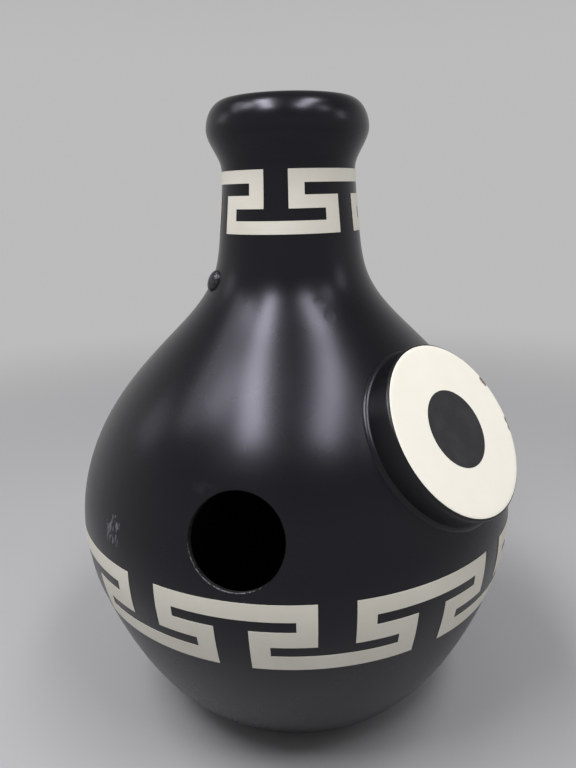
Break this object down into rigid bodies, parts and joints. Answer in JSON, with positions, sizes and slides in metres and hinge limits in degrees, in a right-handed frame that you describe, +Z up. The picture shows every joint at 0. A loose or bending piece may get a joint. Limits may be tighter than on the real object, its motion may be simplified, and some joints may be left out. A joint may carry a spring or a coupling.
{
  "type": "udu drum",
  "caption": "Gourd-shaped hand drum with a round hand hole in its belly, a flared neck mouth and a slanted tunable side head; it stands on its flat foot.",
  "frame": {"origin": "on the drum's axis, in the plane of the flat foot that it stands on", "axes": "+Z up along the neck, -Y out of the hand hole, +X to the right as seen from the hand hole's side"},
  "size_m": [0.3208, 0.3208, 0.449],
  "materials": {
    "shell": "satin black gel coat over glass-fibre laminate",
    "glass_tape": "raw glass tape wetted with resin",
    "ring": "satin black",
    "head_film": "coated polyester film, cream",
    "head_dot": "matte black film dot",
    "tuning_ring": "turned",
    "lug": "sawn and drilled",
    "steel": "zinc plated",
    "bolt": "black oxide, satin",
    "washer": "vulcanised fibre",
    "band": "cream painted film"
  },
  "bodies": {
    "shell": {"front_shell": "shell", "back_shell": "shell", "seam_tape": "glass_tape", "head_ring": "ring", "drumhead": "head_film", "head_dot": "head_dot", "neck_bolt": "bolt", "neck_washer": "washer", "neck_nut": "steel", "neck_band": "band", "belly_band": "band", "tuning_lug_1": "lug", "tuning_lug_2": "lug", "tuning_lug_3": "lug", "tuning_lug_4": "lug", "tuning_lug_5": "lug", "tuning_lug_6": "lug"},
    "tuning_ring": {"tuning_ring": "tuning_ring"},
    "tuning_screw_1": {"tuning_screw_1": "steel"},
    "tuning_screw_2": {"tuning_screw_2": "steel"},
    "tuning_screw_3": {"tuning_screw_3": "steel"},
    "tuning_screw_4": {"tuning_screw_4": "steel"},
    "tuning_screw_5": {"tuning_screw_5": "steel"},
    "tuning_screw_6": {"tuning_screw_6": "steel"}
  },
  "joints": [
    {"name": "tuning_ring_slide", "type": "slide", "parent": "shell", "child": "tuning_ring", "axis": [0.7204, -0.4193, 0.5525], "range_m": [-0.004, 0]},
    {"name": "tuning_screw_1_turn", "type": "hinge", "parent": "tuning_ring", "child": "tuning_screw_1", "pos_m": [0.1296, -0.02047, 0.23349], "axis": [0.7204, -0.4193, 0.5525], "range_deg": [-1800, 0]},
    {"name": "tuning_screw_2_turn", "type": "hinge", "parent": "tuning_ring", "child": "tuning_screw_2", "pos_m": [0.09801, -0.02957, 0.26777], "axis": [0.7204, -0.4193, 0.5525], "range_deg": [-1800, 0]},
    {"name": "tuning_screw_3_turn", "type": "hinge", "parent": "tuning_ring", "child": "tuning_screw_3", "pos_m": [0.07412, -0.07062, 0.26777], "axis": [0.7204, -0.4193, 0.5525], "range_deg": [-1800, 0]},
    {"name": "tuning_screw_4_turn", "type": "hinge", "parent": "tuning_ring", "child": "tuning_screw_4", "pos_m": [0.08181, -0.10258, 0.23349], "axis": [0.7204, -0.4193, 0.5525], "range_deg": [-1800, 0]},
    {"name": "tuning_screw_5_turn", "type": "hinge", "parent": "tuning_ring", "child": "tuning_screw_5", "pos_m": [0.1134, -0.09348, 0.1992], "axis": [0.7204, -0.4193, 0.5525], "range_deg": [-1800, 0]},
    {"name": "tuning_screw_6_turn", "type": "hinge", "parent": "tuning_ring", "child": "tuning_screw_6", "pos_m": [0.1373, -0.05243, 0.1992], "axis": [0.7204, -0.4193, 0.5525], "range_deg": [-1800, 0]}
  ],
  "couplings": [
    {"joint": "tuning_screw_1_turn", "follows": "tuning_ring_slide", "rad_per_m": 7854},
    {"joint": "tuning_screw_2_turn", "follows": "tuning_ring_slide", "rad_per_m": 7854},
    {"joint": "tuning_screw_3_turn", "follows": "tuning_ring_slide", "rad_per_m": 7854},
    {"joint": "tuning_screw_4_turn", "follows": "tuning_ring_slide", "rad_per_m": 7854},
    {"joint": "tuning_screw_5_turn", "follows": "tuning_ring_slide", "rad_per_m": 7854},
    {"joint": "tuning_screw_6_turn", "follows": "tuning_ring_slide", "rad_per_m": 7854}
  ]
}
